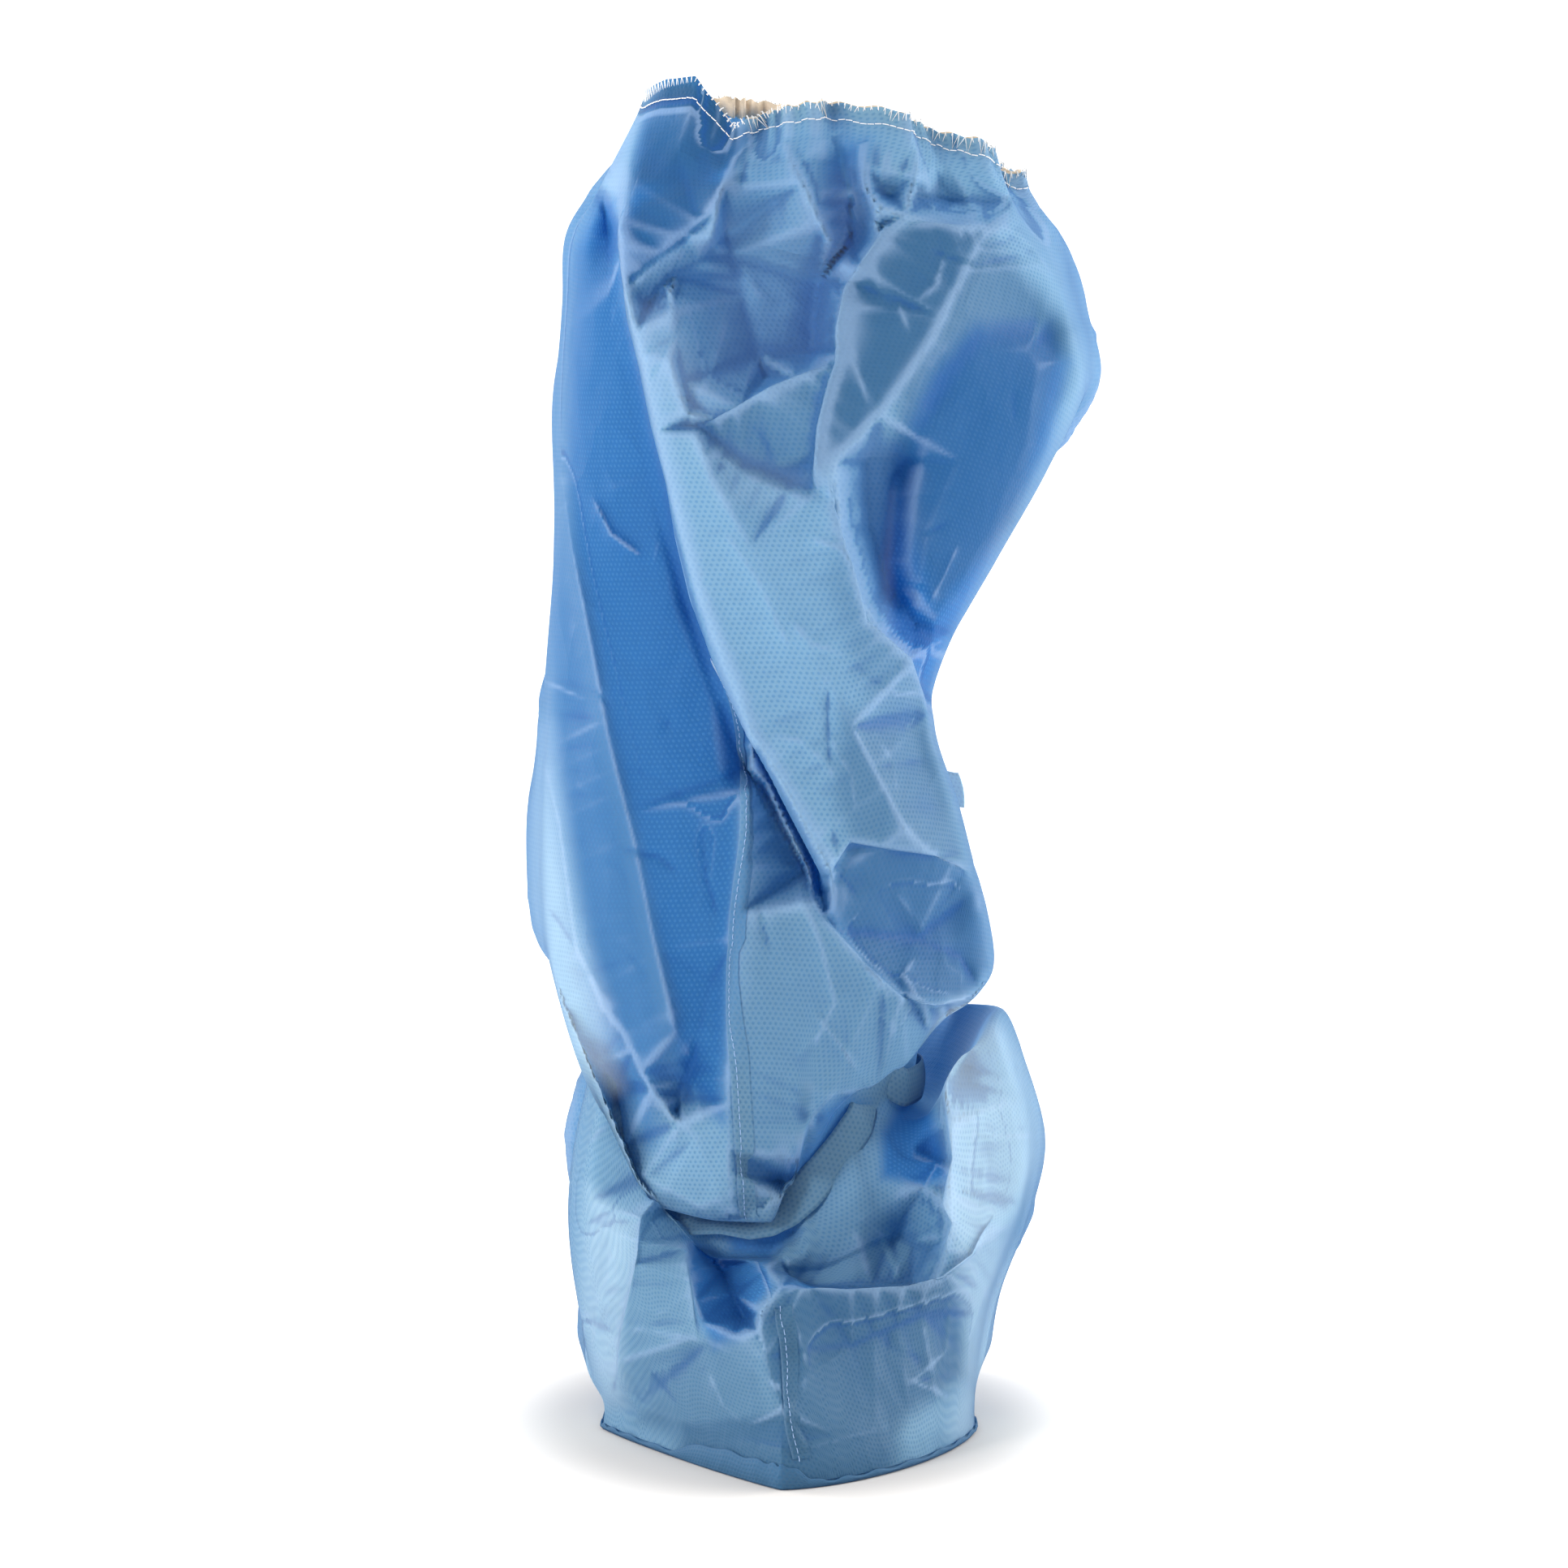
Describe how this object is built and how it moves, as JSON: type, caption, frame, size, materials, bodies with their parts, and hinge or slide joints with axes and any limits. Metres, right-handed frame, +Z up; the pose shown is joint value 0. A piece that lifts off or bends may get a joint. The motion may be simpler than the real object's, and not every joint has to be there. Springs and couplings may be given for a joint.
{
  "type": "knee-high boot cover",
  "caption": "Loose knee-high boot cover of thin fabric, open and elastic-gathered at the top, tied in at the ankle, with a flat sole.",
  "frame": {"origin": "on the floor under the leg's axis, on the flat underside of the sole", "axes": "+Z up, towards the open top; the toe points to -Y; +X to the viewer's right when facing the toe"},
  "size_m": [0.1938, 0.2529, 0.4482],
  "materials": {
    "side_panel_left": "satin embossed non-woven",
    "side_panel_right": "satin embossed non-woven",
    "sole_panel": "matt non-woven",
    "elastic": "woven elastic",
    "ankle_tie": "folded non-woven tape",
    "tie_knot": "folded non-woven tape",
    "tie_tail_right": "folded non-woven tape",
    "tie_tail_left": "folded non-woven tape"
  },
  "bodies": {
    "root": {"side_panel_left": "side_panel_left", "side_panel_right": "side_panel_right", "sole_panel": "sole_panel", "elastic": "elastic", "ankle_tie": "ankle_tie", "tie_knot": "tie_knot", "tie_tail_right": "tie_tail_right", "tie_tail_left": "tie_tail_left"}
  },
  "joints": []
}
